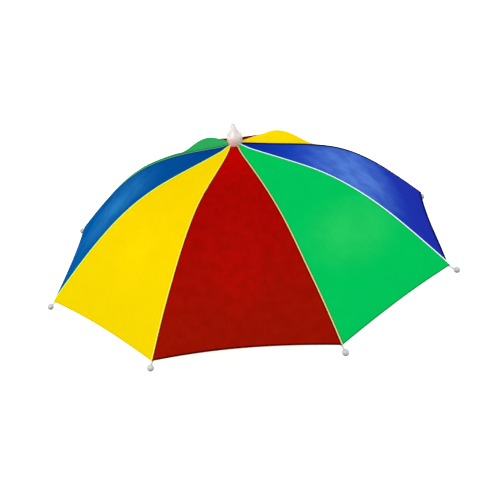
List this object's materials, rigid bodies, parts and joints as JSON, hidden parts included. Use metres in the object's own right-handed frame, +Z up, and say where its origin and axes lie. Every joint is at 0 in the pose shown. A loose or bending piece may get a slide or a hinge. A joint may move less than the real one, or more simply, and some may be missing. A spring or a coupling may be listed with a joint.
{
  "type": "umbrella hat",
  "caption": "Small umbrella worn on the head: cloth panels in several colours over bent steel ribs with ball tips, on wire struts and an elastic headband.",
  "frame": {"origin": "on the ground under the centre of the hat, which rests on its ball tips", "axes": "+Z up along the centre line through the finial; -Y towards the red front panel; +X to the right seen from the front"},
  "size_m": [0.4772, 0.4772, 0.1683],
  "materials": {
    "cloth_red": "woven polyester, satin",
    "cloth_green": "woven polyester, satin",
    "cloth_blue": "woven polyester, satin",
    "cloth_yellow": "woven polyester, satin",
    "white_plastic": "moulded, glossy",
    "steel": "plated",
    "elastic": "knitted elastic webbing"
  },
  "bodies": {
    "root": {"panel_red_front": "cloth_red", "panel_green_front_right": "cloth_green", "panel_blue_right": "cloth_blue", "panel_yellow_back_right": "cloth_yellow", "panel_red_back": "cloth_red", "panel_green_back_left": "cloth_green", "panel_blue_left": "cloth_blue", "panel_yellow_front_left": "cloth_yellow", "rib_1": "steel", "rib_2": "steel", "rib_3": "steel", "rib_4": "steel", "rib_5": "steel", "rib_6": "steel", "rib_7": "steel", "rib_8": "steel", "rib_tip_1": "white_plastic", "rib_tip_2": "white_plastic", "rib_tip_3": "white_plastic", "rib_tip_4": "white_plastic", "rib_tip_5": "white_plastic", "rib_tip_6": "white_plastic", "rib_tip_7": "white_plastic", "rib_tip_8": "white_plastic", "strut_1": "steel", "strut_2": "steel", "strut_3": "steel", "strut_4": "steel", "strut_5": "steel", "strut_6": "steel", "strut_7": "steel", "strut_8": "steel", "rivet_1": "steel", "rivet_2": "steel", "rivet_3": "steel", "rivet_4": "steel", "rivet_5": "steel", "rivet_6": "steel", "rivet_7": "steel", "rivet_8": "steel", "finial": "white_plastic", "hub": "white_plastic", "headband": "elastic"}
  },
  "joints": []
}
